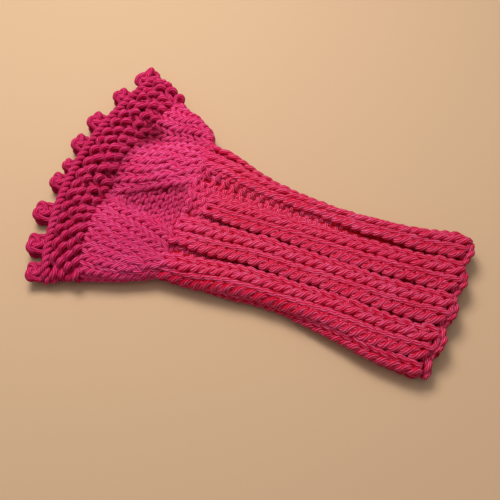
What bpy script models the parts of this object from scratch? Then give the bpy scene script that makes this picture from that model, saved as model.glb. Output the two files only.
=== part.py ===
"""Hand-knitted boot topper, laid flat: a ribbed leg, a flared skirt, a garter band and a picot edge.

Metres, +Z up. The leg lies along X with its cast-on hem at +X and the flared mouth at -X. The tube is
flattened, so its front lies on its back, and the back rests on the plane z = 0.

Places along the tube are counted in knitted rows from the hem. Places round it are shares of the way
round, from 0 at the fold on the +Y side, over the front to about 0.5 at the fold on the -Y side, and
back to 1 along the underside.
"""

import math

import bmesh
import bpy
import numpy as np
from mathutils import Matrix, Vector

# Rows of knitting, counted from the cast-on hem.
HEM_ROW = 0
WAIST_ROW = 26
BAND_ROW = 36
EDGE_ROW = 42

# The flattened tube at a few rows: where its two folds lie in plan, how far the middle of the
# section bows towards the mouth, and how high its front stands.
SECTIONS = (
    # row, far fold x, far fold y, near fold x, near fold y, bow, height
    (0, 0.1205, 0.0535, 0.1095, -0.0450, -0.0045, 0.0160),
    (3, 0.1015, 0.0497, 0.0915, -0.0440, -0.0030, 0.0160),
    (8, 0.0685, 0.0460, 0.0650, -0.0385, -0.0005, 0.0155),
    (15, 0.0240, 0.0474, 0.0240, -0.0320, 0.0000, 0.0155),
    (20, -0.0080, 0.0530, -0.0080, -0.0335, 0.0000, 0.0160),
    (24, -0.0320, 0.0615, -0.0320, -0.0350, 0.0000, 0.0165),
    (26, -0.0450, 0.0640, -0.0450, -0.0355, 0.0000, 0.0160),
    (28, -0.0510, 0.0725, -0.0540, -0.0385, 0.0025, 0.0145),
    (31, -0.0628, 0.0800, -0.0660, -0.0430, 0.0070, 0.0135),
    (34, -0.0716, 0.0839, -0.0796, -0.0476, 0.0113, 0.0132),
    (36, -0.0793, 0.0902, -0.0880, -0.0505, 0.0140, 0.0130),
    (37.2, -0.0842, 0.0965, -0.0922, -0.0520, 0.0154, 0.0128),
    (39, -0.0942, 0.1050, -0.0980, -0.0545, 0.0175, 0.0125),
    (42, -0.1054, 0.1115, -0.1070, -0.0605, 0.0210, 0.0120),
)

# The middle of the finished topper in the table's plan, which becomes the origin.
MIDDLE_X = -0.0051
MIDDLE_Y = 0.0269

# Ribs: two knit stitches that stand proud, two purl stitches that sink between them.
RIB_COUNT = 9
RIB_DEPTH = 0.0045
RIB_SHARPNESS = 0.45
RIB_PLACES = (
    # row, share of the valley below the first rib, share that each of the next three ribs takes
    (0, 0.122, 0.1060),
    (10, 0.115, 0.1165),
    (15, 0.120, 0.1235),
    (19, 0.131, 0.1190),
    (23, 0.146, 0.1215),
    (26, 0.152, 0.1215),
)
FRONT_RIBS = 3
HEM_SCALLOP = 0.0030
SCALLOP_ROWS = 4

# Folds of the flared skirt. A rise above zero is a rounded gore, one below it a crease or a recess.
FOLDS = (
    # name, row and share where it starts, row and share where it ends, width at each, greatest rise
    ("side_gore", 26, 0.000, 42, 0.075, 0.012, 0.018, 0.0035),
    ("crease", 25, 0.040, 39, 0.142, 0.005, 0.007, -0.0055),
    ("upper_gore", 23, 0.100, 42, 0.240, 0.018, 0.026, 0.0035),
    ("recess", 25, 0.255, 40, 0.290, 0.020, 0.010, -0.0065),
    ("lower_gore", 25, 0.430, 42, 0.390, 0.014, 0.026, 0.0035),
)

# Garter band: ridges that run parallel to the mouth's edge.
RIDGE_COUNT = 5
RIDGE_DEPTH = 0.0018

# Walls: the front is a wall over a thin slit, the back is a plain wall that rests flat.
BACK_WALL = 0.0045
FRONT_WALL = 0.0048
LEAST_WALL = 0.0025
SLIT = 0.0014
MAX_SLIT = 0.0034
SEAM_GAP = 0.0003

# The cast-on strand that ends the ribs, and the picot points of the cast-off edge.
CAST_ON_RADIUS = 0.0021
CAST_ON_GAP = 0.0008
FRONT_PICOTS = (
    # share of the way round, width, length
    (0.014, 0.0190, 0.0110),
    (0.079, 0.0125, 0.0115),
    (0.152, 0.0140, 0.0120),
    (0.210, 0.0130, 0.0110),
    (0.264, 0.0090, 0.0075),
    (0.302, 0.0120, 0.0105),
    (0.368, 0.0140, 0.0140),
    (0.431, 0.0140, 0.0130),
    (0.484, 0.0130, 0.0110),
)
PICOT_THICKNESS = 0.0049
PICOT_ROOT = 0.18
PICOT_GAP = 0.0005

# How finely the solids are made.
RING_POINTS = 80
LEG_STATIONS = 13
SKIRT_STATIONS = 11
STATIONS_PER_RIDGE = 4
INNER_STATIONS = 4
CAST_ON_POINTS_PER_RIB = 8
PICOT_SEGMENTS = 10
PICOT_RINGS = 6

# Colours of the raspberry wool, a little duller towards the mouth.
LEG_COLOUR = (0.62, 0.035, 0.115)
SKIRT_COLOUR = (0.60, 0.030, 0.125)
BAND_COLOUR = (0.42, 0.018, 0.075)
WOOL_ROUGHNESS = 0.9


def along(table, column, row):
    """A table's column read at a row, on a smooth curve through its values."""
    rows = np.array([line[0] for line in table], float)
    values = np.array([line[column] for line in table], float)
    slopes = np.gradient(values, rows)
    row = np.clip(row, rows[0], rows[-1])
    i = np.clip(np.searchsorted(rows, row, side="right") - 1, 0, len(rows) - 2)
    step = rows[i + 1] - rows[i]
    t = (row - rows[i]) / step
    start, end = values[i], values[i + 1]
    bend_start, bend_end = slopes[i] * step, slopes[i + 1] * step
    return (
        (2 * t**3 - 3 * t**2 + 1) * start
        + (t**3 - 2 * t**2 + t) * bend_start
        + (3 * t**2 - 2 * t**3) * end
        + (t**3 - t**2) * bend_end
    )


def fade(value, low, high):
    """0 below low, 1 above high, and a smooth step between."""
    t = np.clip((value - low) / (high - low), 0, 1)
    return t * t * (3 - 2 * t)


def folds_at(row):
    """Where the tube's far and near folds lie in plan at a row."""
    far = np.array([along(SECTIONS, 1, row) - MIDDLE_X, along(SECTIONS, 2, row) - MIDDLE_Y])
    near = np.array([along(SECTIONS, 3, row) - MIDDLE_X, along(SECTIONS, 4, row) - MIDDLE_Y])
    return far, near, np.linalg.norm(far - near)


def stadium(share, width, height):
    """A flattened ring: (across, up) and the outward normal, from the far fold over the front."""
    radius = height / 2
    flat = width - height
    quarter = math.pi * radius / 2
    arc = (share % 1) * (2 * flat + 4 * quarter)
    ends = np.cumsum([quarter, flat, 2 * quarter, flat, quarter])
    turn = np.select(
        [arc < ends[0], arc < ends[1], arc < ends[2], arc < ends[3]],
        [
            arc / radius,
            math.pi / 2 + 0 * arc,
            math.pi / 2 + (arc - ends[1]) / radius,
            1.5 * math.pi + 0 * arc,
        ],
        1.5 * math.pi + (arc - ends[3]) / radius,
    )
    slide = np.select(
        [arc < ends[0], arc < ends[1], arc < ends[2], arc < ends[3]],
        [flat / 2 + 0 * arc, flat / 2 - (arc - ends[0]), -flat / 2 + 0 * arc, arc - ends[2] - flat / 2],
        flat / 2,
    )
    normal = np.stack([np.cos(turn), np.sin(turn)], -1)
    place = np.stack([slide + radius * normal[..., 0], radius + radius * normal[..., 1]], -1)
    return place, normal


def rib_phase(row, share):
    """Turns of the rib pattern at a place: whole numbers are the valleys between two ribs."""
    first = along(RIB_PLACES, 1, row)
    pitch = along(RIB_PLACES, 2, row)
    past = (share - first) % 1
    front = FRONT_RIBS * pitch
    rest = (1 - front) / (RIB_COUNT - FRONT_RIBS)
    return np.where(past < front, past / pitch, FRONT_RIBS + (past - front) / rest)


def fold_rise(row, share, width):
    """How far the skirt's gores and creases lift the front at a place."""
    rise = 0.0
    for _, row_0, share_0, row_1, share_1, width_0, width_1, height in FOLDS:
        t = (row - row_0) / (row_1 - row_0)
        centre = share_0 + t * (share_1 - share_0)
        spread = width_0 + np.clip(t, 0, 1) * (width_1 - width_0)
        away = (share - centre + 0.5) % 1 - 0.5
        strength = height * fade(t, 0.0, 0.4) * (1 - fade(t, 0.7, 1.0))
        rise = rise + strength * np.exp(-((away * 2 * width / spread) ** 2))
    return rise


def scallop(row, share):
    """How far the hem reaches out at a rib's end, or draws back between two."""
    wave = -np.cos(2 * math.pi * rib_phase(row, share))
    return HEM_SCALLOP / 2 * wave * (1 - fade(row, 0, SCALLOP_ROWS))


def outer_ring(row, share):
    """Points of the tube's outside at a row."""
    far, near, width = folds_at(row)
    place, normal = stadium(share, width, along(SECTIONS, 6, row))
    front = fade(normal[:, 1], -0.8, -0.2)
    crest = (1 - np.cos(2 * math.pi * rib_phase(row, share))) / 2
    ribbed = 1 - fade(row, WAIST_ROW - 1, WAIST_ROW + 2)
    sunk = RIB_DEPTH * ribbed * (1 - crest**RIB_SHARPNESS)
    ridged = fade(row, BAND_ROW - 0.1, BAND_ROW)
    ridge = (1 - math.cos(2 * math.pi * (row - BAND_ROW) * RIDGE_COUNT / (EDGE_ROW - BAND_ROW))) / 2
    sunk = sunk + RIDGE_DEPTH * ridged * (1 - ridge)
    lift = front * (fold_rise(row, share, width) - sunk)
    place = place + normal * lift[:, None]
    lowest = (BACK_WALL + SLIT + LEAST_WALL) * fade(normal[:, 1], 0.3, 1.0)
    place[:, 1] = np.maximum(place[:, 1], lowest)
    across = (near - far) / width
    middle = (far + near) / 2
    plan = middle[None] - place[:, :1] * across[None]
    bowed = 1 - (2 * place[:, 0] / width) ** 2
    x = plan[:, 0] - along(SECTIONS, 5, row) * np.clip(bowed, 0, 1) + scallop(row, share)
    return np.stack([x, plan[:, 1], np.maximum(place[:, 1], 0)], -1)


def inner_ring(row, share):
    """Points of the tube's plain inside at a row: a thin slit between the front and the back."""
    outside = outer_ring(row, share)
    far, near, width = folds_at(row)
    place, normal = stadium(share, width - 2 * FRONT_WALL - RIB_DEPTH, SLIT)
    across = (near - far) / width
    plan = (far + near)[None] / 2 - place[:, :1] * across[None]
    bowed = np.clip(1 - (2 * place[:, 0] / width) ** 2, 0, 1)
    x = plan[:, 0] - along(SECTIONS, 5, row) * bowed + scallop(row, share)
    roof = np.clip(outside[:, 2] - FRONT_WALL, BACK_WALL + SLIT, BACK_WALL + MAX_SLIT)
    over = fade(normal[:, 1], 0.0, 1.0)
    z = BACK_WALL + place[:, 1] * (1 - over) + over * (roof - BACK_WALL)
    return np.stack([x, plan[:, 1], z], -1)


def material(name, colour):
    """Matt dyed wool."""
    made = bpy.data.materials.new(name)
    made.use_nodes = True
    shader = made.node_tree.nodes["Principled BSDF"]
    shader.inputs["Base Color"].default_value = (*colour, 1)
    shader.inputs["Roughness"].default_value = WOOL_ROUGHNESS
    shader.inputs["Metallic"].default_value = 0.0
    made.diffuse_color = (*colour, 1)
    return made


def place_in(collection, name, mesh, finish):
    """An object of the topper, smooth-shaded, with its material."""
    piece = bpy.data.objects.new(name, mesh)
    collection.objects.link(piece)
    mesh.materials.clear()
    mesh.materials.append(finish)
    mesh.shade_smooth()
    return piece


def tube_wall(collection, name, rows, finish):
    """A stretch of the knitted tube: a loft over the outside, round the last rim, back along the
    plain inside and round the first rim, closed on itself."""
    share = np.arange(RING_POINTS) / RING_POINTS
    inner_rows = np.linspace(rows[-1], rows[0], INNER_STATIONS)
    rings = [outer_ring(row, share) for row in rows] + [inner_ring(row, share) for row in inner_rows]
    mesh = bpy.data.meshes.new(name)
    shape = bmesh.new()
    points = [[shape.verts.new(p) for p in ring] for ring in rings]
    for ring, following in zip(points, points[1:] + points[:1]):
        for i in range(RING_POINTS):
            j = (i + 1) % RING_POINTS
            shape.faces.new((ring[i], ring[j], following[j], following[i]))
    bmesh.ops.recalc_face_normals(shape, faces=shape.faces)
    shape.to_mesh(mesh)
    shape.free()
    return place_in(collection, name, mesh, finish)


def ribbed_leg(collection, finish):
    """The K2, P2 leg, from just behind the cast-on strand to the waist."""
    rows = np.linspace(HEM_ROW, WAIST_ROW, LEG_STATIONS)
    return tube_wall(collection, "ribbed_leg", rows, finish)


def flared_skirt(collection, finish):
    """The stocking-stitch flare with its gores, crease and recess."""
    return tube_wall(collection, "flared_skirt", seam_rows(WAIST_ROW, BAND_ROW, SKIRT_STATIONS), finish)


def garter_band(collection, finish):
    """The garter band with its ridges."""
    stations = RIDGE_COUNT * STATIONS_PER_RIDGE + 1
    return tube_wall(collection, "garter_band", seam_rows(BAND_ROW, EDGE_ROW, stations), finish)


def seam_rows(start, end, count):
    """Stations from one row to another, starting one seam gap after the first."""
    step = 0.01
    share = np.arange(RING_POINTS) / RING_POINTS
    row = start + step
    while np.linalg.norm(outer_ring(row, share) - outer_ring(start, share), axis=1).min() < SEAM_GAP:
        row += step
    return np.linspace(row, end, count)


def cast_on_edge(collection, finish):
    """The cast-on strand: it rounds off each rib's end and dips between the ribs."""
    count = RIB_COUNT * CAST_ON_POINTS_PER_RIB
    share = np.arange(count) / count
    outside = outer_ring(HEM_ROW, share)
    inside = inner_ring(HEM_ROW, share)
    middle = (outside + inside) / 2
    middle[:, 0] = np.maximum(outside[:, 0], inside[:, 0]) + CAST_ON_RADIUS + CAST_ON_GAP
    curve = bpy.data.curves.new("cast_on_route", "CURVE")
    curve.dimensions = "3D"
    curve.bevel_depth = CAST_ON_RADIUS
    curve.bevel_resolution = 2
    spline = curve.splines.new("POLY")
    spline.points.add(count - 1)
    spline.use_cyclic_u = True
    for point, at in zip(spline.points, middle):
        point.co = (*at, 1)
    guide = bpy.data.objects.new("cast_on_route", curve)
    collection.objects.link(guide)
    mesh = bpy.data.meshes.new_from_object(guide.evaluated_get(bpy.context.evaluated_depsgraph_get()))
    bpy.data.objects.remove(guide)
    return place_in(collection, "cast_on_edge", mesh, finish)


def picot_places():
    """(share, width, length) of every picot: those on the front, then those on the underside, each
    of them below one of the front's."""
    below = [(1 - share, width, length) for share, width, length in reversed(FRONT_PICOTS[1:-1])]
    return list(FRONT_PICOTS) + below


def picot(collection, name, share, width, length, finish):
    """A point of the cast-off edge: a dome of knotted yarn whose broad root meets the band's rim."""
    half = 0.0 if share < 0.5 else 0.5
    beside = np.clip([share - 0.04, share + 0.04], half + 0.03, half + 0.47)
    at = np.array([share, *beside])
    rim, left, right = (outer_ring(EDGE_ROW, at) + inner_ring(EDGE_ROW, at)) / 2
    up = Vector((0, 0, 1))
    out = Vector((right[0] - left[0], right[1] - left[1], 0)).normalized().cross(up)
    if out.x > 0:
        out.negate()
    turned = Matrix((out, up.cross(out), up)).transposed()
    mesh = bpy.data.meshes.new(name)
    shape = bmesh.new()
    bmesh.ops.create_uvsphere(shape, u_segments=PICOT_SEGMENTS, v_segments=PICOT_RINGS, radius=1)
    root = length * PICOT_ROOT
    centre = Vector(rim) + out * (root + PICOT_GAP)
    centre.z = max(centre.z, PICOT_THICKNESS / 2)
    for corner in shape.verts:
        reach = length - root if corner.co.x > 0 else root
        aside, rise = corner.co.y * width / 2, corner.co.z * PICOT_THICKNESS / 2
        corner.co = centre + turned @ Vector((corner.co.x * reach, aside, rise))
    shape.to_mesh(mesh)
    shape.free()
    return place_in(collection, name, mesh, finish)


def boot_topper():
    """The whole topper, in its own collection."""
    for thing in list(bpy.data.objects):
        bpy.data.objects.remove(thing)
    collection = bpy.data.collections.new("boot_topper")
    bpy.context.scene.collection.children.link(collection)
    leg_wool = material("leg_wool", LEG_COLOUR)
    skirt_wool = material("skirt_wool", SKIRT_COLOUR)
    band_wool = material("band_wool", BAND_COLOUR)
    cast_on_edge(collection, leg_wool)
    ribbed_leg(collection, leg_wool)
    flared_skirt(collection, skirt_wool)
    garter_band(collection, band_wool)
    for number, (share, width, length) in enumerate(picot_places(), start=1):
        picot(collection, f"picot_{number:02d}", share, width, length, band_wool)


boot_topper()
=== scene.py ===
"""A hand-knitted boot topper of plied raspberry wool, laid flat, drawn yarn by yarn over its solids."""

import math

import bpy
import numpy as np
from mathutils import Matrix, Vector


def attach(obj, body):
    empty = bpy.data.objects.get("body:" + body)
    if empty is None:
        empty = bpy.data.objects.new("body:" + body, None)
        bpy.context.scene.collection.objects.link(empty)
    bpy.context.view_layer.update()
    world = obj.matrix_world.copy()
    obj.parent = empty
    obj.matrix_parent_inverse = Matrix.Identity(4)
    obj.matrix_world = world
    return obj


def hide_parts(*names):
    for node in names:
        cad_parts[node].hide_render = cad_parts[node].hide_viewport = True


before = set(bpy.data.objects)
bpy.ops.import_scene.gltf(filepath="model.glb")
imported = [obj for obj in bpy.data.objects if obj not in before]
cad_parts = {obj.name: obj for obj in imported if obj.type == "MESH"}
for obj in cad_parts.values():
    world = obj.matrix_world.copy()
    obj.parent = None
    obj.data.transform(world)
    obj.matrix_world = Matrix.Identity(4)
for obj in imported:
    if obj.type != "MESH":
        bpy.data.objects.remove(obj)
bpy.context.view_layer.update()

# ---------------------------------------------------------------------------------------------------
# The cloth of the leg. A flattened tube, worked round in one plied wool, that lies front on back.
# Behind the stitches a thin tube of the same wool, coloured darker as painted shade, stands for the yarn
# that can't be told apart, in the gaps between the strands. Rows are counted from the hem, shares go
# once round the tube.

HEM_ROW, WAIST_ROW, BAND_ROW, EDGE_ROW = 0, 26, 36, 42
MIDDLE = np.array([-0.0051, 0.0269])
SECTIONS = (
    # row, far fold x, far fold y, near fold x, near fold y, bow, height
    (0, 0.1205, 0.0535, 0.1095, -0.0450, -0.0045, 0.0160),
    (3, 0.1015, 0.0497, 0.0915, -0.0440, -0.0030, 0.0160),
    (8, 0.0685, 0.0460, 0.0650, -0.0385, -0.0005, 0.0155),
    (15, 0.0240, 0.0474, 0.0240, -0.0320, 0.0000, 0.0155),
    (20, -0.0080, 0.0530, -0.0080, -0.0335, 0.0000, 0.0160),
    (24, -0.0320, 0.0615, -0.0320, -0.0350, 0.0000, 0.0165),
    (26, -0.0450, 0.0640, -0.0450, -0.0355, 0.0000, 0.0160),
    (28, -0.0510, 0.0725, -0.0540, -0.0385, 0.0025, 0.0145),
    (31, -0.0628, 0.0800, -0.0660, -0.0430, 0.0070, 0.0135),
    (34, -0.0716, 0.0839, -0.0796, -0.0476, 0.0113, 0.0132),
    (36, -0.0793, 0.0902, -0.0880, -0.0505, 0.0140, 0.0130),
    (37.2, -0.0842, 0.0965, -0.0922, -0.0520, 0.0154, 0.0128),
    (39, -0.0942, 0.1050, -0.0980, -0.0545, 0.0175, 0.0125),
    (42, -0.1054, 0.1115, -0.1070, -0.0605, 0.0210, 0.0120),
)
RIB_PLACES = (
    # row, share of the valley below the first rib, share that each of the next three ribs takes
    (0, 0.122, 0.1060),
    (10, 0.115, 0.1165),
    (15, 0.120, 0.1235),
    (19, 0.131, 0.1190),
    (23, 0.146, 0.1215),
    (26, 0.152, 0.1215),
)
FOLDS = (
    # row and share where it starts, row and share where it ends, width at each, greatest rise
    (26, 0.000, 42, 0.075, 0.012, 0.018, 0.0035),
    (25, 0.040, 39, 0.142, 0.005, 0.007, -0.0055),
    (23, 0.100, 42, 0.240, 0.018, 0.026, 0.0035),
    (25, 0.255, 40, 0.290, 0.020, 0.010, -0.0065),
    (25, 0.430, 42, 0.390, 0.014, 0.026, 0.0035),
)
FOLD_GROWS, FOLD_ENDS = (0.0, 0.4), (0.7, 1.0)  # in shares of a fold's length
RIB_COUNT, FRONT_RIBS, RIB_DEPTH, RIB_SHARPNESS = 9, 3, 0.0045, 0.45
RIBS_END = (WAIST_ROW - 1, WAIST_ROW + 2)
HEM_SCALLOP, SCALLOP_ROWS = 0.0030, 4
RIDGE_COUNT, RIDGE_DEPTH = 5, 0.0018
RIDGES_START = (BAND_ROW - 0.1, BAND_ROW)
BACK_WALL, FRONT_WALL, LEAST_WALL = 0.0045, 0.0048, 0.0025
SLIT, MAX_SLIT = 0.0014, 0.0034
# How far a spot faces up, from -1 to 1, where the plain back turns into the worked front, and where
# the least wall over the slit starts to count.
FRONT_STARTS, ROOF_STARTS = (-0.8, -0.2), (0.3, 1.0)


def along(table, column, row):
    """A table's column read at any rows, on a smooth curve through its values."""
    rows = np.array([line[0] for line in table], float)
    values = np.array([line[column] for line in table], float)
    slopes = np.gradient(values, rows)
    row = np.clip(row, rows[0], rows[-1])
    i = np.clip(np.searchsorted(rows, row, side="right") - 1, 0, len(rows) - 2)
    step = rows[i + 1] - rows[i]
    t = (row - rows[i]) / step
    return (
        (2 * t**3 - 3 * t**2 + 1) * values[i]
        + (t**3 - 2 * t**2 + t) * slopes[i] * step
        + (3 * t**2 - 2 * t**3) * values[i + 1]
        + (t**3 - t**2) * slopes[i + 1] * step
    )


def fade(value, low, high):
    """0 below low, 1 above high, and a smooth step between."""
    t = np.clip((value - low) / (high - low), 0, 1)
    return t * t * (3 - 2 * t)


def stadium(share, width, height):
    """A flattened ring, from the far fold over the front: how far across and up, and its normal."""
    radius, flat = height / 2, width - height
    quarter = math.pi * radius / 2
    arc = (share % 1) * (2 * flat + 4 * quarter)
    front_end, fold_end = quarter + flat, 3 * quarter + flat
    back_end = fold_end + flat
    parts = [arc < quarter, arc < front_end, arc < fold_end, arc < back_end]
    turns = [
        arc / radius,
        0.5 * math.pi + 0 * arc,
        0.5 * math.pi + (arc - front_end) / radius,
        1.5 * math.pi + 0 * arc,
    ]
    turn = np.select(parts, turns, 1.5 * math.pi + (arc - back_end) / radius)
    slides = [
        flat / 2 + 0 * arc,
        flat / 2 - (arc - quarter),
        -flat / 2 + 0 * arc,
        arc - fold_end - flat / 2,
    ]
    slide = np.select(parts, slides, flat / 2 + 0 * arc)
    return slide + radius * np.cos(turn), radius + radius * np.sin(turn), turn


def rib_phase(row, share):
    """Turns of the rib pattern: whole numbers are the valleys between two ribs."""
    pitch = along(RIB_PLACES, 2, row)
    past = (share - along(RIB_PLACES, 1, row)) % 1
    front = FRONT_RIBS * pitch
    rest = (1 - front) / (RIB_COUNT - FRONT_RIBS)
    return np.where(past < front, past / pitch, FRONT_RIBS + (past - front) / rest)


def fold_rise(row, share, width):
    """How far the skirt's gores and creases lift the front."""
    rise = 0.0
    for row_0, share_0, row_1, share_1, width_0, width_1, height in FOLDS:
        t = (row - row_0) / (row_1 - row_0)
        spread = width_0 + np.clip(t, 0, 1) * (width_1 - width_0)
        away = (share - share_0 - t * (share_1 - share_0) + 0.5) % 1 - 0.5
        strength = height * fade(t, *FOLD_GROWS) * (1 - fade(t, *FOLD_ENDS))
        rise = rise + strength * np.exp(-((away * 2 * width / spread) ** 2))
    return rise


def lay(row, share, slide, rise, width, far, near):
    """A point of a flattened section, set down on the table and bowed as the mouth is."""
    middle = (far + near) / 2 - MIDDLE
    plan = middle - slide[..., None] * (near - far) / width[..., None]
    bowed = np.clip(1 - (2 * slide / width) ** 2, 0, 1)
    wave = -np.cos(2 * math.pi * rib_phase(row, share))
    scallop = HEM_SCALLOP / 2 * wave * (1 - fade(row, 0, SCALLOP_ROWS))
    x = plan[..., 0] - along(SECTIONS, 5, row) * bowed + scallop
    return np.stack([x, plan[..., 1], rise], -1)


def folds_at(row):
    """Where the tube's far and near folds lie on the table, and how far apart they are."""
    far = np.stack([along(SECTIONS, 1, row), along(SECTIONS, 2, row)], -1)
    near = np.stack([along(SECTIONS, 3, row), along(SECTIONS, 4, row)], -1)
    return far, near, np.linalg.norm(far - near, axis=-1)


def outside(row, share):
    """The outside of the solid tube."""
    row, share = np.broadcast_arrays(np.asarray(row, float), np.asarray(share, float))
    far, near, width = folds_at(row)
    slide, up, turn = stadium(share, width, along(SECTIONS, 6, row))
    front = fade(np.sin(turn), *FRONT_STARTS)
    crest = (1 - np.cos(2 * math.pi * rib_phase(row, share))) / 2
    sunk = RIB_DEPTH * (1 - fade(row, *RIBS_END)) * (1 - crest**RIB_SHARPNESS)
    turns = (row - BAND_ROW) * RIDGE_COUNT / (EDGE_ROW - BAND_ROW)
    ridge = (1 - np.cos(2 * math.pi * turns)) / 2
    sunk = sunk + RIDGE_DEPTH * fade(row, *RIDGES_START) * (1 - ridge)
    lift = front * (fold_rise(row, share, width) - sunk)
    slide, up = slide + lift * np.cos(turn), up + lift * np.sin(turn)
    up = np.maximum(up, (BACK_WALL + SLIT + LEAST_WALL) * fade(np.sin(turn), *ROOF_STARTS))
    return lay(row, share, slide, np.maximum(up, 0), width, far, near)


def inside(row, share):
    """The plain inside of the solid tube, round its thin slit."""
    row, share = np.broadcast_arrays(np.asarray(row, float), np.asarray(share, float))
    far, near, width = folds_at(row)
    slide, up, turn = stadium(share, width - 2 * FRONT_WALL - RIB_DEPTH, SLIT)
    roof = np.clip(outside(row, share)[..., 2] - FRONT_WALL, BACK_WALL + SLIT, BACK_WALL + MAX_SLIT)
    over = fade(np.sin(turn), 0.0, 1.0)
    rise = (BACK_WALL + up) * (1 - over) + over * roof
    return lay(row, share, slide, rise, width, far, near)


# The thin tube lies this deep in the wall, but at least and at most at these shares of the wall's
# thickness, and takes this share of the wool that is left behind it.
SHELL_DEPTH, SHELL_LEAST, SHELL_MOST, SHELL_SHARE = 0.0026, 0.50, 0.92, 0.45
SHELL_POINTS = 180


def shell(name, rows):
    """A thin closed tube of cloth inside the solid's wall, from one row to another."""
    row, share = np.meshgrid(rows, np.arange(SHELL_POINTS) / SHELL_POINTS, indexing="ij")
    out, back = outside(row, share), inside(row, share)
    wall = np.linalg.norm(back - out, axis=-1, keepdims=True)
    deep = np.clip(SHELL_DEPTH / np.maximum(wall, 1e-6), SHELL_LEAST, SHELL_MOST)
    outer = out + (back - out) * deep
    inner = out + (back - out) * (deep + (1 - deep) * SHELL_SHARE)
    rings = np.concatenate([outer, inner[::-1]])
    count = len(rings)
    k = np.arange(count * SHELL_POINTS).reshape(count, SHELL_POINTS)
    on, beside = np.roll(k, -1, 0), np.roll(k, -1, 1)
    faces = np.stack([k, beside, np.roll(on, -1, 1), on], -1).reshape(-1, 4)
    mesh = bpy.data.meshes.new(name)
    mesh.from_pydata(rings.reshape(-1, 3).tolist(), [], faces.tolist())
    mesh.shade_smooth()
    piece = bpy.data.objects.new(name, mesh)
    bpy.context.scene.collection.objects.link(piece)
    return piece


class Value:
    """A number inside a shader, which Python's operators work on."""

    def __init__(self, paint, socket):
        self.paint, self.socket = paint, socket

    def do(self, operation, first, second):
        made = self.paint.node("ShaderNodeMath", {"operation": operation}, {0: first, 1: second})
        return Value(self.paint, made.outputs[0])

    def __add__(self, other):
        return self.do("ADD", self, other)

    def __sub__(self, other):
        return self.do("SUBTRACT", self, other)

    def __rsub__(self, other):
        return self.do("SUBTRACT", other, self)

    def __mul__(self, other):
        return self.do("MULTIPLY", self, other)

    def __truediv__(self, other):
        return self.do("DIVIDE", self, other)

    __radd__ = __add__
    __rmul__ = __mul__


class Paint:
    """A material's node tree, with its shader cleared of all but its own defaults."""

    def __init__(self, name):
        self.material = bpy.data.materials.new(name)
        self.material.use_nodes = True
        self.tree = self.material.node_tree
        self.shader = self.tree.nodes["Principled BSDF"]

    def node(self, kind, settings=None, sockets=None):
        made = self.tree.nodes.new(kind)
        for key, value in (settings or {}).items():
            if key == "stops":
                for stop in list(made.color_ramp.elements)[1:]:
                    made.color_ramp.elements.remove(stop)
                made.color_ramp.elements[0].position, made.color_ramp.elements[0].color = value[0]
                for place, colour in value[1:]:
                    made.color_ramp.elements.new(place).color = colour
            else:
                setattr(made, key, value)
        for key, value in (sockets or {}).items():
            self.feed(made.inputs[key], value)
        return made

    def feed(self, socket, value):
        if isinstance(value, Value):
            value = value.socket
        if isinstance(value, bpy.types.NodeSocket):
            self.tree.links.new(value, socket)
        else:
            socket.default_value = value

    def value(self, socket):
        return Value(self, socket)


# Plied wool: fine strands wind round the yarn, with painted shade in the grooves between them.
PLIES, PLY_PITCH, PLY_BUMP = 8, 0.024, 0.00045
WANDER, WANDER_SCALE = 0.7, 260.0  # how far the strands stray from a true winding, and how often
FIBRE_TURNS, FIBRE_RUNS, FIBRE_SCALE = 2.2, 110.0, 2.4  # streaks round a strand and along it
BLOTCH_SCALE = 55.0
# How much the strands' painted light and shade, the fibres and the blotches lighten the wool, and how
# dark it is without them.
PLY_PAINTED_SHADING, FIBRE_TONE, BLOTCH_TONE, TONE_DROP = 0.52, 1.60, 0.20, 0.95
TOP_PAINTED_LIGHT = 0.34  # painted light on top of each strand and painted shade down its sides
SHADE_STOPS = (0.15, 0.55, 0.95)
PAINTED_LIGHT_RANGE = (-0.012, -0.062)  # where along the leg painted light starts to turn the wool paler and bluer, and where it ends
# The dark red that painted shade mixes into the wool in folds, recesses and under the band.
PAINTED_SHADE_RED = (0.150, 0.000, 0.012)
RELIEF, FIBRE_RELIEF = 0.8, 0.5
WOOL_ROUGHNESS, WOOL_SHINE = 0.9, 0.05
SHEEN, SHEEN_ROUGHNESS, SHEEN_TINT = 0.04, 0.5, (1.0, 0.20, 0.45, 1)


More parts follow.
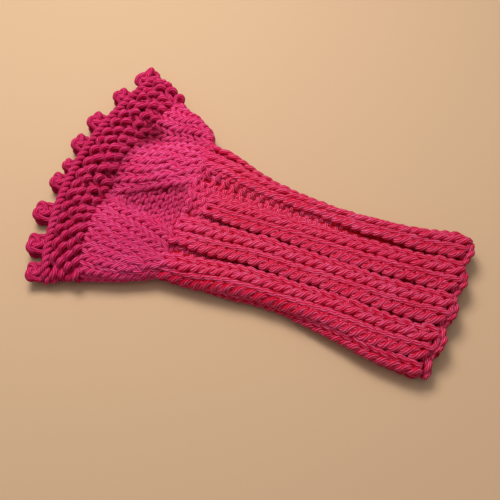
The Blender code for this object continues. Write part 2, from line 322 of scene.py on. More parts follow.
def wool(name, shades, mouth_lit_shades):
    """Raspberry wool whose plies follow the yarn, from the yarn's own coordinates. Its deep, middle and
    bright shades at the hem turn into a paler, bluer three towards the mouth, as painted light, and a
    mesh attribute mixes painted shade into it."""
    paint = Paint(name)
    yarn = paint.node("ShaderNodeUVMap", {"uv_map": "yarn"})
    parts = paint.node("ShaderNodeSeparateXYZ", None, {0: yarn.outputs["UV"]})
    turn, run = paint.value(parts.outputs["X"]), paint.value(parts.outputs["Y"])
    place = paint.node("ShaderNodeTexCoord").outputs["Object"]
    wander = paint.node(
        "ShaderNodeTexNoise", None, {"Vector": place, "Scale": WANDER_SCALE, "Detail": 2.0}
    )
    drift = (paint.value(wander.outputs["Fac"]) - 0.5) * WANDER
    phase = (turn + run / PLY_PITCH) * PLIES + drift
    wave = paint.node("ShaderNodeMath", {"operation": "SINE"}, {0: phase * math.pi})
    ply = paint.node("ShaderNodeMath", {"operation": "ABSOLUTE"}, {0: wave.outputs[0]})
    strand = paint.value(ply.outputs[0])
    fibre_at = paint.node(
        "ShaderNodeCombineXYZ", None, {"X": phase * FIBRE_TURNS, "Y": run * FIBRE_RUNS}
    )
    fibre = paint.node(
        "ShaderNodeTexNoise", None, {"Vector": fibre_at.outputs[0], "Scale": FIBRE_SCALE, "Detail": 4.0}
    )
    fibres = paint.value(fibre.outputs["Fac"])
    blotch = paint.node(
        "ShaderNodeTexNoise", None, {"Vector": place, "Scale": BLOTCH_SCALE, "Detail": 2.0}
    )
    blotches = paint.value(blotch.outputs["Fac"])
    # Painted light and shade: each strand is coloured paler where it faces out of the cloth and darker
    # down its sides.
    upward = paint.node("ShaderNodeMath", {"operation": "COSINE"}, {0: turn * (2 * math.pi)})
    tone = strand * PLY_PAINTED_SHADING + fibres * FIBRE_TONE + blotches * BLOTCH_TONE - TONE_DROP
    tone = tone + paint.value(upward.outputs[0]) * TOP_PAINTED_LIGHT
    ramps = [
        paint.node(
            "ShaderNodeValToRGB",
            {"stops": [(at, (*shade, 1)) for at, shade in zip(SHADE_STOPS, three)]},
            {"Fac": tone},
        )
        for three in (shades, mouth_lit_shades)
    ]
    # Painted light: the colours blend by place along the leg, from the darker hem set to the paler,
    # bluer mouth set.
    # A colour mix takes its two colours at sockets 6 and 7.
    along_leg = paint.node("ShaderNodeSeparateXYZ", None, {0: place})
    change = paint.node(
        "ShaderNodeMapRange",
        {"interpolation_type": "SMOOTHSTEP"},
        {"Value": along_leg.outputs["X"], "From Min": PAINTED_LIGHT_RANGE[1], "From Max": PAINTED_LIGHT_RANGE[0]},
    )
    colour = paint.node(
        "ShaderNodeMix",
        {"data_type": "RGBA"},
        {"Factor": change.outputs["Result"], 6: ramps[1].outputs["Color"], 7: ramps[0].outputs["Color"]},
    )
    # Painted shade: where the mesh's attribute says so, the colour is mixed towards a dark red.
    deeper = paint.node("ShaderNodeAttribute", {"attribute_name": "deeper"})
    colour = paint.node(
        "ShaderNodeMix",
        {"data_type": "RGBA"},
        {"Factor": deeper.outputs["Fac"], 6: colour.outputs[2], 7: (*PAINTED_SHADE_RED, 1)},
    )
    relief = strand + fibres * FIBRE_RELIEF
    bump = paint.node(
        "ShaderNodeBump", None, {"Strength": RELIEF, "Distance": PLY_BUMP, "Height": relief}
    )
    paint.feed(paint.shader.inputs["Base Color"], colour.outputs[2])
    paint.feed(paint.shader.inputs["Normal"], bump.outputs["Normal"])
    paint.shader.inputs["Roughness"].default_value = WOOL_ROUGHNESS
    paint.shader.inputs["Specular IOR Level"].default_value = WOOL_SHINE
    paint.shader.inputs["Sheen Weight"].default_value = SHEEN
    paint.shader.inputs["Sheen Roughness"].default_value = SHEEN_ROUGHNESS
    paint.shader.inputs["Sheen Tint"].default_value = SHEEN_TINT
    return paint.material


FELT_SCALE, FELT_DARK_BELOW, FELT_PALE_ABOVE = 900.0, 0.35, 0.70
FELT_BUMP, FELT_ROUGHNESS, FELT_SHINE = 0.0004, 0.95, 0.15


def felt(name, colour, darker):
    """Wool lost between the strands: fibres whose deep shade is painted into their colour, mottled."""
    paint = Paint(name)
    place = paint.node("ShaderNodeTexCoord").outputs["Object"]
    noise = paint.node(
        "ShaderNodeTexNoise", None, {"Vector": place, "Scale": FELT_SCALE, "Detail": 5.0}
    )
    mottle = noise.outputs["Fac"]
    ramp = paint.node(
        "ShaderNodeValToRGB",
        {"stops": [(FELT_DARK_BELOW, (*darker, 1)), (FELT_PALE_ABOVE, (*colour, 1))]},
        {"Fac": mottle},
    )
    bump = paint.node(
        "ShaderNodeBump", None, {"Strength": RELIEF, "Distance": FELT_BUMP, "Height": mottle}
    )
    paint.feed(paint.shader.inputs["Base Color"], ramp.outputs["Color"])
    paint.feed(paint.shader.inputs["Normal"], bump.outputs["Normal"])
    paint.shader.inputs["Roughness"].default_value = FELT_ROUGHNESS
    paint.shader.inputs["Specular IOR Level"].default_value = FELT_SHINE
    return paint.material


# One wool, painted lit and shaded: the hem's colours are darker as painted shade, the mouth's paler and
# bluer as painted light.
HEM_SHADED_COLOURS = ((0.46, 0.000, 0.006), (0.60, 0.010, 0.064), (0.71, 0.140, 0.340))
MOUTH_LIT_COLOURS = ((0.48, 0.000, 0.020), (0.68, 0.016, 0.140), (0.80, 0.150, 0.460))
leg_wool = wool("leg_wool", HEM_SHADED_COLOURS, MOUTH_LIT_COLOURS)
# The leg's inner wool is coloured darker than the yarn, as painted shade.
leg_felt = felt("leg_wool_inner", (0.52, 0.001, 0.012), (0.28, 0.000, 0.006))

# It starts a little behind the hem, under the cast-on edge, and has three rings to a row.
CLOTH_STARTS, LEG_RINGS = HEM_ROW + 0.4, 79
leg_cloth = shell("leg_cloth", np.linspace(CLOTH_STARTS, WAIST_ROW, LEG_RINGS))
leg_cloth.data.materials.append(leg_felt)

# ---------------------------------------------------------------------------------------------------
# The leg's stitches. Each round is one strand that runs through 36 stitches, knit two, purl two, and
# closes on itself. The knit pairs stand up as ribs and all but hide the purl pairs between them.

LEG_RADIUS = 0.0021
LEG_LOOP = (0.86, 0.22, 0.09, 0.0009)  # height in rows, swing and shift in widths, depth in metres
LEG_LEAN = -0.0007
LEG_PURLS_SUNK = 0.0020
PURLS_RISE = (0.06, 0.19)  # widths of a purl stitch between which it comes up out of its valley
STITCH_POINTS = 24
YARN_SIDES = 8
PROUD = 0.0005  # how far a strand's crown stands over the solid's outside
# Rib A lies along the far fold, and rib B below it, past the first valley.
LEG_PURL_WIDTHS = (
    # row, share of a rib's cell that one purl stitch takes, the same in the valley below rib A, and the
    # same above it
    (0, 0.015, 0.020, 0.25),
    (10, 0.015, 0.110, 0.25),
    (15, 0.020, 0.160, 0.25),
    (19, 0.030, 0.210, 0.22),
    (23, 0.060, 0.300, 0.15),
    (26, 0.120, 0.380, 0.12),
)
FLANKS_RAISED = 0.8  # how much of a rib's slope its knit stitches fill
PURL_SWING, PURL_DEPTH = 0.85, 1.5  # a purl stitch's loop beside a knit one's
UNEVEN = np.random.default_rng(11)
# How unevenly hand knitting lies: across in a stitch's width, up in its height, out in metres.
UNEVEN_ACROSS, UNEVEN_TALL, UNEVEN_OUT = 0.035, 0.05, 0.00018


def share_of_phase(row, phase):
    """The share round the tube where the rib pattern has made that many turns."""
    first, pitch = along(RIB_PLACES, 1, row), along(RIB_PLACES, 2, row)
    front = FRONT_RIBS * pitch
    rest = (1 - front) / (RIB_COUNT - FRONT_RIBS)
    return first + np.where(phase < FRONT_RIBS, phase * pitch, front + (phase - FRONT_RIBS) * rest)


def leg_edges(row):
    """Shares of the edges between the leg's 36 columns at some rows: one line of 37 for each row."""
    plain, below_a, above_a = (along(LEG_PURL_WIDTHS, column, row) for column in (1, 2, 3))
    edges = []
    for rib in range(RIB_COUNT):
        before = {0: below_a, RIB_COUNT - 1: above_a}.get(rib, plain)
        after = below_a if rib == RIB_COUNT - 1 else plain
        half = (1 - before - after) / 2
        for step in (0 * before, before, before + half, before + 2 * half):
            edges.append(share_of_phase(row, rib + step))
    edges.append(edges[0] + 1)
    return np.stack(edges, -1)


def stitch_round(row, edges_at, purls, active, loop, lean=0.0, lift=0.0, sink_purls=0.0):
    """One closed round of stitches: where its yarn runs, as rows, shares and heights over the cloth.
    The leg on a stitch's near side is the fuller one and lies over the other."""
    height, swing, shift, depth = loop
    t = np.arange(STITCH_POINTS) * 2 * math.pi / STITCH_POINTS
    rows = row - height * np.cos(t)
    edges = edges_at(rows)
    span = edges[:, -1:] - edges[:, :1]
    shown = np.flatnonzero(active)
    left, right = edges[:, shown], edges[:, shown + 1]
    middle_left = (left + np.concatenate([right[:, -1:] - span, right[:, :-1]], 1)) / 2
    middle_right = np.concatenate([middle_left[:, 1:], middle_left[:, :1] + span], 1)
    side = np.where(purls[shown], -1.0, 1.0)
    swings = np.where(purls[shown], swing * PURL_SWING, swing)
    across = t[:, None] / (2 * math.pi) + swings[None] * np.sin(2 * t)[:, None]
    across = across - shift * (1 + np.cos(t))[:, None] / 2
    foot = ((1 + np.cos(t)) / 2) ** 3
    across = across + UNEVEN_ACROSS * UNEVEN.standard_normal(len(shown))[None] * (1 - foot)[:, None]
    share = middle_left + (middle_right - middle_left) * across
    beside = np.where((t < math.pi)[:, None], np.roll(side, 1)[None], np.roll(side, -1)[None])
    facing = side[None] * (1 - foot[:, None]) + foot[:, None] * (side[None] + beside) / 2
    bolder = 1 + (PURL_DEPTH - 1) * (1 - facing) / 2
    leaning = lean * np.sin(t)[:, None] * side[None]
    over = -depth * bolder * np.cos(2 * t)[:, None] * facing + leaning + lift
    over = over - np.broadcast_to(sink_purls, len(purls))[shown][None] * (1 - facing) / 2
    tall = 1 + UNEVEN_TALL * UNEVEN.standard_normal(len(shown))
    over = over + UNEVEN_OUT * UNEVEN.standard_normal(len(shown))[None]
    rows = row - height * np.cos(t)[:, None] * tall[None]
    rows = np.where(foot[:, None] > 0.5, (row - height * np.cos(t))[:, None], rows)
    return rows.T.ravel(), share.T.ravel(), over.T.ravel()


PAST_ENDS = 0.2  # how far past the first and the last row a strand may reach, in rows
END_MARGIN, SIDE_MARGIN = 0.002, 0.04


def settle(rows, shares, over, radius, inset, step_row=0.5, step_share=0.006, bridge=0.0):
    """Sets yarn down on the cloth: its points, and the cloth's outward direction at each, taken over
    a step. Stitches bridge folds narrower than they are."""
    rows = np.clip(rows, HEM_ROW - PAST_ENDS, EDGE_ROW + PAST_ENDS)
    at = outside(rows, shares)
    at = (at + outside(rows, shares - bridge) + outside(rows, shares + bridge)) / 3
    by_row = outside(rows + step_row, shares) - outside(rows - step_row, shares)
    by_share = outside(rows, shares + step_share) - outside(rows, shares - step_share)
    normal = np.cross(by_row, by_share)
    normal /= np.maximum(np.linalg.norm(normal, axis=1), 1e-12)[:, None]
    place = at + normal * (over - inset)[:, None]
    place[:, 2] = np.maximum(place[:, 2], radius)
    return place, normal


def yarn(name, paths, sides=YARN_SIDES):
    """A mesh of round strands that close on themselves. Each path is (points, outward directions,
    radius), and may add how much painted shade darkens it, which the mesh keeps as an attribute."""
    spots, corners, turns, runs, painted_shades, lengths = [], [], [], [], [], []
    total = 0
    for points, outward, radius, *deeper in paths:
        painted_shades.append(np.repeat(deeper[0] if deeper else np.zeros(len(points)), sides))
        tangent = np.roll(points, -1, 0) - np.roll(points, 1, 0)
        tangent /= np.maximum(np.linalg.norm(tangent, axis=1), 1e-12)[:, None]
        side = np.cross(tangent, outward)
        side /= np.maximum(np.linalg.norm(side, axis=1), 1e-12)[:, None]
        up = np.cross(side, tangent)
        angle = np.arange(sides) * 2 * math.pi / sides
        radii = np.broadcast_to(np.asarray(radius, float), (len(points),))
        ring = np.cos(angle)[None, :, None] * up[:, None] + np.sin(angle)[None, :, None] * side[:, None]
        spots.append((points[:, None] + ring * radii[:, None, None]).reshape(-1, 3))
        count = len(points)
        k, j = np.arange(count), np.arange(sides)
        following, beside = (k + 1) % count, (j + 1) % sides
        quad = np.stack(
            [
                total + k[:, None] * sides + j[None],
                total + k[:, None] * sides + beside[None],
                total + following[:, None] * sides + beside[None],
                total + following[:, None] * sides + j[None],
            ],
            -1,
        )
        corners.append(quad.reshape(-1, 4))
        step = np.linalg.norm(points[following] - points[k], axis=1)
        run = np.concatenate([[0], np.cumsum(step)])
        run *= round(run[-1] / PLY_PITCH) * PLY_PITCH / run[-1]
        low, high = np.tile(j / sides, (count, 1)), np.tile((j + 1) / sides, (count, 1))
        start, end = np.tile(run[:-1, None], (1, sides)), np.tile(run[1:, None], (1, sides))
        turns.append(np.stack([low, high, high, low], -1).reshape(-1, 4))
        runs.append(np.stack([start, start, end, end], -1).reshape(-1, 4))
        lengths.append(step)
        total += count * sides
    spots, corners = np.concatenate(spots), np.concatenate(corners)
    turns, runs = np.concatenate(turns), np.concatenate(runs)
    steps = np.concatenate(lengths)
    mesh = bpy.data.meshes.new(name)
    mesh.from_pydata(spots.tolist(), [], corners.tolist())
    strands = mesh.uv_layers.new(name="yarn")
    strands.data.foreach_set("uv", np.stack([turns, runs], -1).astype(np.float32).ravel())
    # This attribute holds the painted shade, point by point, for the wool's colour.
    painted_dark = mesh.attributes.new("deeper", "FLOAT", "POINT")
    painted_dark.data.foreach_set("value", np.concatenate(painted_shades).astype(np.float32))
    # The second map holds the strands unrolled, cut into lines of equal length with a margin each.
    around = 2 * math.pi * float(np.mean([np.mean(path[2]) for path in paths]))
    lines = max(1, round(math.sqrt(steps.sum() / around)))
    in_line = math.ceil(len(steps) / lines)
    number = np.repeat(np.arange(len(steps)), sides)
    line, place = number // in_line, number % in_line
    ends = (place[:, None] + np.array([0, 0, 1, 1])[None]) / in_line
    u = END_MARGIN + (1 - 2 * END_MARGIN) * ends
    v = (line[:, None] + SIDE_MARGIN + (1 - 2 * SIDE_MARGIN) * turns) / lines
    laid = mesh.uv_layers.new(name="OFBake")
    laid.data.foreach_set("uv", np.stack([u, v], -1).astype(np.float32).ravel())
    mesh.shade_smooth()
    piece = bpy.data.objects.new(name, mesh)
    bpy.context.scene.collection.objects.link(piece)
    return piece


IN_RIB = 4  # stitches in a rib's cell
leg_purls = np.tile([True, False, False, True], RIB_COUNT)
leg_all = np.ones(IN_RIB * RIB_COUNT, bool)
below_rib_a = np.isin(np.arange(IN_RIB * RIB_COUNT), (0, IN_RIB * RIB_COUNT - 1))
rib_b = np.arange(IN_RIB * RIB_COUNT) < IN_RIB
RIB_B_ENDS = 24.4  # rib B turns to purl stitches sooner than the others
# Painted shade darkens the wool towards the hem, fading out over these rows.
HEM_PAINTED_SHADE, HEM_ROWS = 0.10, (1, 11)
LEG_INSET = LEG_RADIUS + LEG_LOOP[3] - PROUD
LEG_BLOCKS = (("leg_stitches_hem", 0, 9), ("leg_stitches_middle", 9, 18), ("leg_stitches_waist", 18, 26))
for name, first, last in LEG_BLOCKS:
    rounds = []
    for number in range(first, last):
        row = number + 0.5
        open_to = np.where(below_rib_a, along(LEG_PURL_WIDTHS, 2, row), along(LEG_PURL_WIDTHS, 1, row))
        sunk = LEG_PURLS_SUNK * (1 - fade(open_to, *PURLS_RISE))
        purls = leg_purls | (rib_b if row > RIB_B_ENDS else False)
        rows, shares, over = stitch_round(
            row, leg_edges, purls, leg_all, LEG_LOOP, LEG_LEAN, sink_purls=sunk
        )
        crest = (1 - np.cos(2 * math.pi * rib_phase(rows, shares))) / 2
        knit = 1 - np.repeat(purls, STITCH_POINTS)
        over = over + knit * FLANKS_RAISED * RIB_DEPTH * (1 - crest**RIB_SHARPNESS)
        place, normal = settle(rows, shares, over, LEG_RADIUS, LEG_INSET)
        # Painted shade near the hem.
        deeper = HEM_PAINTED_SHADE * (1 - fade(rows, *HEM_ROWS))
        rounds.append((place, normal, LEG_RADIUS, deeper))
    piece = yarn(name, rounds)
    piece.data.materials.append(leg_wool)
    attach(piece, "root")

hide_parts("ribbed_leg")
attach(leg_cloth, "root")

# ---------------------------------------------------------------------------------------------------
# The cast-on edge. Two strands twist round each other, half a turn for each stitch, and finish the
# hem. The edge swings out over each rib's end and dips back between two ribs.

CAST_ON_RADIUS = 0.00165
CAST_ON_TWIST = 0.0009
CAST_ON_TURNS = 18
CAST_ON_STAND_OFF = 0.0020
EDGE_POINTS = 16  # for each stitch, at the hem and at the mouth
CAST_ON_POINTS = IN_RIB * RIB_COUNT * EDGE_POINTS

share = np.arange(CAST_ON_POINTS) / CAST_ON_POINTS
rim_out, rim_in = outside(HEM_ROW, share), inside(HEM_ROW, share)
route = (rim_out + rim_in) / 2
route[:, 0] = np.maximum(rim_out[:, 0], rim_in[:, 0]) + CAST_ON_STAND_OFF
heading = np.roll(route, -1, 0) - np.roll(route, 1, 0)
heading /= np.linalg.norm(heading, axis=1)[:, None]
outward = np.cross(heading, np.array([1.0, 0, 0]))
outward /= np.linalg.norm(outward, axis=1)[:, None]
sideways = np.cross(heading, outward)
strands = []
for start in (0.0, math.pi):
    angle = start + 2 * math.pi * CAST_ON_TURNS * share
    offset = np.cos(angle)[:, None] * outward + np.sin(angle)[:, None] * sideways
    place = route + CAST_ON_TWIST * offset
    place[:, 2] = np.maximum(place[:, 2], CAST_ON_RADIUS)
    strands.append((place, outward, CAST_ON_RADIUS))
cast_on = yarn("cast_on_strands", strands)
cast_on.data.materials.append(leg_wool)
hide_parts("cast_on_edge")
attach(cast_on, "root")

# ---------------------------------------------------------------------------------------------------
# The flared skirt. Ten rounds of stocking stitch that grow from 36 stitches to 40. Two gores gain
# stitches while a triangle of reverse stocking stitch between them narrows away to nothing.

SKIRT_RADIUS, PURL_RADIUS = 0.0018, 0.0015
SKIRT_LOOP = (0.80, 0.27, 0.06, 0.0010)
SKIRT_LEAN = -0.0004
SKIRT_INSET = SKIRT_RADIUS + SKIRT_LOOP[3] - PROUD
SKIRT_STEPS = (1.0, 0.016)  # rows and share over which the cloth's direction is taken
SKIRT_BRIDGE = 0.009
RECESS_SUNK = 0.0009
ROW_IN_SHARES = 0.013  # a row's height, as a share of the way round
SECTORS = (
    # start share at the waist and at the band, how it bends between them, whether purled, and for each
    # stitch 0 where it runs all the way, the row where it joins, or, below 0, the row where it leaves
    (0.152, 0.282, 0.55, True, (-28.0, -30.5, -33.0, -34.5, -32.0, -29.5)),
    (0.355, 0.282, 0.60, False, (0, 0)),
    (0.425, 0.330, 1.00, False, (0, 27.5, 0, 29.5, 0, 28.5, 0)),
    (0.5165, 0.508, 1.00, False, (0,) * 12),
    (0.8343, 0.808, 1.00, False, (27.5, 29.0, 30.5, 32.0) + (0,) * 8),
    (1.046, 1.116, 0.60, False, (0, 28.0, 0, 31.0, 0, 29.5, 0)),
)
GROWING_ROWS, WORKED_FROM = 1.6, 0.45  # rows it takes a stitch to grow, and the width it is worked from
TUCKS = (
    # row and share at one end, row and share at the other, width in shares, how deep the cloth tucks in,
    # how much painted shade darkens its wool there
    (27.5, 0.058, 33.0, 0.104, 0.010, 0.0000, 0.30),
    (33.0, 0.108, 35.0, 0.124, 0.016, 0.0006, 0.60),
    (35.2, 0.108, 36.1, 0.150, 0.036, 0.0008, 0.85),
    (36.0, 0.160, 36.0, 0.310, 0.024, 0.0008, 0.48),
    (27.5, 0.215, 34.0, 0.270, 0.022, 0.0006, 0.58),
    (26.5, 0.260, 33.0, 0.285, 0.060, 0.0000, 0.32),
    (29.0, 0.400, 34.0, 0.400, 0.200, 0.0000, 0.22),
)


def tucked(row, share):
    """How far stitches are drawn in along the crease, under the band and beside the upper gore, and how
    much painted shade darkens them there."""
    depth, deeper = 0.0, 0.0
    for row_0, share_0, row_1, share_1, width, deepest, painted_dark in TUCKS:
        run = np.array([(row_1 - row_0) * ROW_IN_SHARES, share_1 - share_0])
        to = np.stack([(row - row_0) * ROW_IN_SHARES, (share - share_0 + 0.5) % 1 - 0.5], -1)
        t = np.clip(to @ run / (run @ run), 0, 1)
        away = np.linalg.norm(to - t[..., None] * run, axis=-1)
        near = np.exp(-((2 * away / width) ** 2))
        depth, deeper = np.maximum(depth, deepest * near), np.maximum(deeper, painted_dark * near)
    return depth, deeper


def stitch_width(change, row):
    """How wide a stitch is beside its neighbours: 0 where it isn't there, 1 once it is full."""
    if change == 0:
        return np.ones_like(row)
    grown = fade(row, abs(change) - GROWING_ROWS / 2, abs(change) + GROWING_ROWS / 2)
    return grown if change > 0 else 1 - grown


def skirt_edges(row):
    """Shares of the edges between the skirt's stitches at some rows: one line of edges for each row."""
    t = np.clip((row - WAIST_ROW) / (BAND_ROW - WAIST_ROW), 0, 1)
    starts = [at_waist + (at_band - at_waist) * t**bend for at_waist, at_band, bend, _, _ in SECTORS]
    starts.append(starts[0] + 1)
    edges = []
    for start, end, (_, _, _, _, changes) in zip(starts, starts[1:], SECTORS):
        widths = [stitch_width(change, row) for change in changes]
        total = np.maximum(sum(widths), 1e-6)
        gone = 0 * row
        for width in widths:
            edges.append(start + (end - start) * gone / total)
            gone = gone + width
    edges.append(starts[-1])
    return np.stack(edges, -1)


skirt_wool = wool("skirt_wool", HEM_SHADED_COLOURS, MOUTH_LIT_COLOURS)
# The skirt's inner wool is painted darker still, as shade in its gaps and the pocket.
skirt_felt = felt("skirt_wool_inner", (0.17, 0.000, 0.012), (0.09, 0.000, 0.006))
skirt_purls = np.array([purled for _, _, _, purled, changes in SECTORS for _ in changes])
changes_in_order = [change for _, _, _, _, changes in SECTORS for change in changes]
rounds = []
for number in range(WAIST_ROW, BAND_ROW):
    row = number + 0.5
    widths = np.array([float(stitch_width(change, np.array(row))) for change in changes_in_order])
    worked = widths > WORKED_FROM
    rows, shares, over = stitch_round(
        row, skirt_edges, skirt_purls, worked, SKIRT_LOOP, SKIRT_LEAN, sink_purls=RECESS_SUNK
    )
    # The tucks also give the painted shade of the stitches there.
    depth, deeper = tucked(rows, shares)
    place, normal = settle(
        rows, shares, over - depth, SKIRT_RADIUS, SKIRT_INSET, *SKIRT_STEPS, SKIRT_BRIDGE
    )
    thick = np.where(np.repeat(skirt_purls[worked], STITCH_POINTS), PURL_RADIUS, SKIRT_RADIUS)
    rounds.append((place, normal, thick, deeper))
skirt_stitches = yarn("skirt_stitches", rounds)
skirt_stitches.data.materials.append(skirt_wool)
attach(skirt_stitches, "root")

SKIRT_RINGS = 41
skirt_cloth = shell("skirt_cloth", np.linspace(WAIST_ROW, BAND_ROW, SKIRT_RINGS))
skirt_cloth.data.materials.append(skirt_felt)
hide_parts("flared_skirt")
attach(skirt_cloth, "root")

# ---------------------------------------------------------------------------------------------------
# The garter band. Four garter ridges, each a round of slanting purl bumps that stands out over a knit
# round sunk behind it, worked on 40 stitches in the same wool, which is painted darker and duller here
# as shade.

RIDGE_RADIUS, VALLEY_RADIUS = 0.0022, 0.0016
RIDGE_BUMP = (0.22, 0.12, 0.0030)  # rise in rows, reach in widths, how far it stands out in metres
RIDGE_CURL, RIDGE_SLANT = 0.14, 0.1  # how far a bump's ends curl back and its middle rises, in rows
RIDGE_SUNK, RIDGE_THICK = 0.6, (0.86, 0.24)  # beside how far it stands out, and its radius
UNEVEN_BUMPS = (0.12, 0.6, 0.0005)  # across in widths, up beside its rise, and out in metres
VALLEY_LOOP, VALLEY_LEAN = (0.70, 0.20, 0.0, 0.0008), 0.0003
VALLEY_SUNK = 0.0022
BAND_STEPS = (1.5, 0.012)
BAND_COLUMNS = 40  # columns of stitches round the band
BAND_START = 0.008
RIDGE_ROWS = (EDGE_ROW - BAND_ROW) / RIDGE_COUNT


def band_edges(row):
    """Shares of the edges between the band's 40 stitches, the same at any row."""
    return BAND_START + np.arange(BAND_COLUMNS + 1)[None] / BAND_COLUMNS + 0 * row[:, None]


def bump_round(row, columns, start, bump):
    """One closed round of purl bumps: each slants up out of the cloth and its yarn goes back below."""
    rise, reach, stand = bump
    uneven_across, uneven_rise, uneven_out = UNEVEN_BUMPS
    t = np.arange(STITCH_POINTS)[:, None] * 2 * math.pi / STITCH_POINTS
    own = UNEVEN.standard_normal((3, 1, columns)) * (1 - np.clip(np.cos(t), 0, 1) ** 4)[None]
    across = np.arange(columns)[None] + t / (2 * math.pi) - reach * np.cos(t) + uneven_across * own[0]
    rows = row - rise * np.cos(t) * (1 + uneven_rise * own[1])
    rows = rows - RIDGE_CURL * np.sin(2 * t) + RIDGE_SLANT * np.sin(t)
    over = stand * (np.sin(t) - RIDGE_SUNK) + uneven_out * own[2]
    thin, thicker = RIDGE_THICK
    thick = RIDGE_RADIUS * (thin + thicker * np.sin(t)) * np.ones((1, columns))
    return (rows.T.ravel(), (start + across / columns).T.ravel(), over.T.ravel()), thick.T.ravel()


# The band's colours are the same wool painted darker and duller, as shade.
BAND_SHADED_COLOURS = ((0.36, 0.000, 0.026), (0.53, 0.009, 0.095), (0.66, 0.080, 0.280))
band_wool = wool("band_wool", BAND_SHADED_COLOURS, BAND_SHADED_COLOURS)
# The band's inner wool, painted dark as shade.
band_felt = felt("band_wool_inner", (0.19, 0.000, 0.024), (0.10, 0.000, 0.013))
band_all, band_none = np.ones(BAND_COLUMNS, bool), np.zeros(BAND_COLUMNS, bool)
rounds = []
for ridge in range(RIDGE_COUNT - 1):
    crest = BAND_ROW + (ridge + 0.5) * RIDGE_ROWS
    row = crest - 0.5 * RIDGE_ROWS
    made = stitch_round(row, band_edges, band_none, band_all, VALLEY_LOOP, VALLEY_LEAN, -VALLEY_SUNK)
    place, normal = settle(*made, VALLEY_RADIUS, VALLEY_RADIUS, *BAND_STEPS)
    rounds.append((place, normal, VALLEY_RADIUS))
    start = BAND_START + 0.5 * (ridge % 2) / BAND_COLUMNS
    (rows, shares, over), thick = bump_round(crest, BAND_COLUMNS, start, RIDGE_BUMP)
    place, normal = settle(rows, shares, over, thick, RIDGE_RADIUS, *BAND_STEPS)
    # Painted shade on the bumps that the tucks under the band reach.
    rounds.append((place, normal, thick, tucked(rows, shares)[1]))
band_stitches = yarn("band_stitches", rounds)
band_stitches.data.materials.append(band_wool)
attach(band_stitches, "root")

# ---------------------------------------------------------------------------------------------------
# The cast-off edge and its picots. A chain of two strands closes the mouth, and at each picot the
# yarn is worked out and back through itself, which leaves a small knot of it at the rim.

CAST_OFF_RADIUS = 0.0017
CAST_OFF_TWIST = 0.0013
CAST_OFF_ROW, CAST_OFF_OUT = 41.6, 0.62  # where the chain runs, and how far out in the wall
PICOT_RADIUS = 0.0020
PICOT_KNOT_DEPTH = 0.0012
PICOT_KNOT_TURN = 0.9  # how much further each knot is turned than the one before
PICOT_IN = 0.85  # how far the knot's strand keeps inside the picot's outline, beside its radius
ARCH_IN, ARCH_THIN, ARCH_LONG = 0.6, 0.9, 0.92  # the same for the arch's, its radius and its length
ARCH_ROOT_WIDE, ARCH_TIP_WIDE = 1.15, 0.55  # width at the root, and what it loses towards the tip
ARCH_BACK, ARCH_WAVE, ARCH_LOWER = 0.0004, 0.0007, 0.0006  # behind the rim, up and down, below it
PICOT_POINTS = 96
PICOT_REACH, PICOT_CORNER = 0.04, 0.03  # shares beside a picot for the rim's heading, off the folds
PICOT_THICKNESS, PICOT_ROOT, PICOT_GAP = 0.0049, 0.18, 0.0005
FRONT_PICOTS = (
    # share of the way round, width, length
    (0.014, 0.0190, 0.0110),
    (0.079, 0.0125, 0.0115),
    (0.152, 0.0140, 0.0120),
    (0.210, 0.0130, 0.0110),
    (0.264, 0.0090, 0.0075),
    (0.302, 0.0120, 0.0105),
    (0.368, 0.0140, 0.0140),
    (0.431, 0.0140, 0.0130),
    (0.484, 0.0130, 0.0110),
)

CAST_OFF_POINTS = BAND_COLUMNS * EDGE_POINTS
share = np.arange(CAST_OFF_POINTS) / CAST_OFF_POINTS
rim_out, rim_in = outside(CAST_OFF_ROW, share), inside(CAST_OFF_ROW, share)
route = rim_out * CAST_OFF_OUT + rim_in * (1 - CAST_OFF_OUT)
heading = np.roll(route, -1, 0) - np.roll(route, 1, 0)
heading /= np.linalg.norm(heading, axis=1)[:, None]
outward = rim_out - rim_in
outward -= (outward * heading).sum(1)[:, None] * heading
outward /= np.linalg.norm(outward, axis=1)[:, None]
sideways = np.cross(heading, outward)
strands = []
for start in (0.0, math.pi):
    angle = start + 2 * math.pi * BAND_COLUMNS * share
    offset = np.cos(angle)[:, None] * outward + np.sin(angle)[:, None] * sideways
    place = route + CAST_OFF_TWIST * offset
    place[:, 2] = np.maximum(place[:, 2], CAST_OFF_RADIUS)
    strands.append((place, outward, CAST_OFF_RADIUS))
cast_off = yarn("cast_off_strands", strands)
cast_off.data.materials.append(band_wool)
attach(cast_off, "root")

BAND_RINGS = 25
band_cloth = shell("band_cloth", np.linspace(BAND_ROW, EDGE_ROW, BAND_RINGS))
band_cloth.data.materials.append(band_felt)
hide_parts("garter_band")
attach(band_cloth, "root")

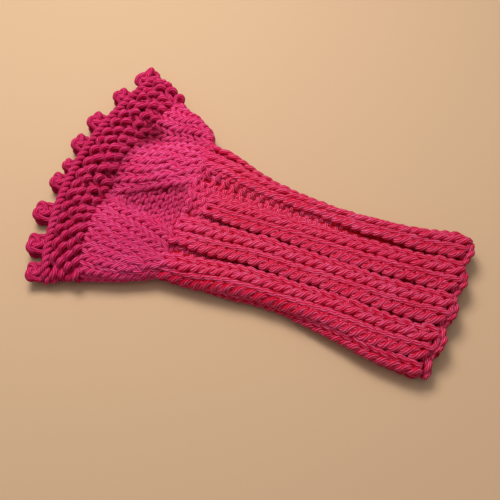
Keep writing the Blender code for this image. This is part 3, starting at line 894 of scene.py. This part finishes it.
below = [(1 - at, width, length) for at, width, length in reversed(FRONT_PICOTS[1:-1])]
for number, (at, width, length) in enumerate(list(FRONT_PICOTS) + below, start=1):
    half = 0.0 if at < 0.5 else 0.5
    beside = np.clip(
        [at - PICOT_REACH, at + PICOT_REACH], half + PICOT_CORNER, half + 0.5 - PICOT_CORNER
    )
    places = np.array([at, *beside])
    rim, left, right = (outside(EDGE_ROW, places) + inside(EDGE_ROW, places)) / 2
    level = np.array([0.0, 0.0, 1.0])
    out = np.cross([right[0] - left[0], right[1] - left[1], 0], level)
    out /= np.linalg.norm(out) * (-1 if out[0] > 0 else 1)
    across = np.cross(level, out)
    root = length * PICOT_ROOT
    centre = rim + out * (root + PICOT_GAP)
    centre[2] = max(centre[2], PICOT_THICKNESS / 2)
    s = 2 * math.pi * np.arange(PICOT_POINTS) / PICOT_POINTS
    turned = s + PICOT_KNOT_TURN * number
    knot_across = (np.sin(turned) + 2 * np.sin(2 * turned)) / 3
    knot_out = (np.cos(turned) - 2 * np.cos(2 * turned)) / 3
    knot_level = -np.sin(3 * turned)
    wide, deep = width / 2 - PICOT_RADIUS * PICOT_IN, length / 2 - PICOT_RADIUS * PICOT_IN
    middle = centre + out * (length / 2 - root)
    place = (
        middle
        + (wide * knot_across)[:, None] * across
        + (deep * knot_out)[:, None] * out
        + (PICOT_KNOT_DEPTH * knot_level)[:, None] * level
    )
    forth = (1 - np.cos(s)) / 2
    arch_wide = (width / 2 - PICOT_RADIUS * ARCH_IN) * (ARCH_ROOT_WIDE - ARCH_TIP_WIDE * forth)
    arch = (
        rim
        + (arch_wide * np.sin(s))[:, None] * across
        + ((length - PICOT_RADIUS) * ARCH_LONG * forth - ARCH_BACK)[:, None] * out
        + (ARCH_WAVE * np.cos(3 * s) - ARCH_LOWER)[:, None] * level
    )
    place[:, 2] = np.maximum(place[:, 2], PICOT_RADIUS)
    arch[:, 2] = np.maximum(arch[:, 2], PICOT_RADIUS)
    direction = np.tile(level, (PICOT_POINTS, 1))
    loops = [(place, direction, PICOT_RADIUS), (arch, direction, PICOT_RADIUS * ARCH_THIN)]
    knob = yarn(f"picot_knob_{number:02d}", loops)
    knob.data.materials.append(band_wool)
    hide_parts(f"picot_{number:02d}")
    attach(knob, "root")

# ---------------------------------------------------------------------------------------------------
# The plain table that the topper lies on, the two soft lamps over it, up and to the left, and the
# camera, which looks down on it from the near side.

FLOOR_SIZE, FLOOR_COLOUR, FLOOR_ROUGHNESS = 6.0, (0.54, 0.385, 0.262, 1), 0.9
CAMERA_AZIMUTH, CAMERA_ELEVATION = 19.0, 62.0
CAMERA_DISTANCE, CAMERA_LENS, CAMERA_SENSOR = 0.375, 45.0, 36.0
CAMERA_CLIP = (0.01, 20)
CAMERA_TARGET = Vector((-MIDDLE[0], -MIDDLE[1], 0.008))

bpy.ops.mesh.primitive_plane_add(size=FLOOR_SIZE, location=(0, 0, 0))
floor = bpy.context.object
floor.name = "floor"
floor_paint = Paint("pale_floor")
floor_paint.shader.inputs["Base Color"].default_value = FLOOR_COLOUR
floor_paint.shader.inputs["Roughness"].default_value = FLOOR_ROUGHNESS
floor.data.materials.append(floor_paint.material)

a, e = math.radians(CAMERA_AZIMUTH), math.radians(CAMERA_ELEVATION)
back = Vector((math.sin(a) * math.cos(e), -math.cos(a) * math.cos(e), math.sin(e)))
camera = bpy.data.objects.new("camera", bpy.data.cameras.new("camera"))
bpy.context.scene.collection.objects.link(camera)
camera.location = CAMERA_TARGET + back * CAMERA_DISTANCE
camera.rotation_euler = (-back).to_track_quat("-Z", "Y").to_euler()
camera.data.lens = CAMERA_LENS
camera.data.sensor_width = CAMERA_SENSOR
camera.data.clip_start, camera.data.clip_end = CAMERA_CLIP
bpy.context.scene.camera = camera

LAMPS = (
    # name, where it hangs, size, watts, colour
    ("upper_lamp", (-0.25, 0.24, 0.62), 0.30, 4.5, (1.0, 0.89, 0.75)),
    ("room_light", (-0.20, 0.20, 1.00), 1.20, 3.8, (1.0, 0.93, 0.84)),
)
ROOM_COLOUR, ROOM_STRENGTH = (1.0, 0.92, 0.82, 1), 0.28
bpy.context.scene.view_settings.view_transform = "Standard"
for name, at, size, watts, colour in LAMPS:
    lamp = bpy.data.objects.new(name, bpy.data.lights.new(name, "AREA"))
    bpy.context.scene.collection.objects.link(lamp)
    lamp.location = at
    lamp.rotation_euler = Vector(at).to_track_quat("Z", "Y").to_euler()
    lamp.data.size = size
    lamp.data.energy = watts
    lamp.data.color = colour
world = bpy.data.worlds.new("room")
bpy.context.scene.world = world
world.use_nodes = True
world.node_tree.nodes["Background"].inputs["Color"].default_value = ROOM_COLOUR
world.node_tree.nodes["Background"].inputs["Strength"].default_value = ROOM_STRENGTH
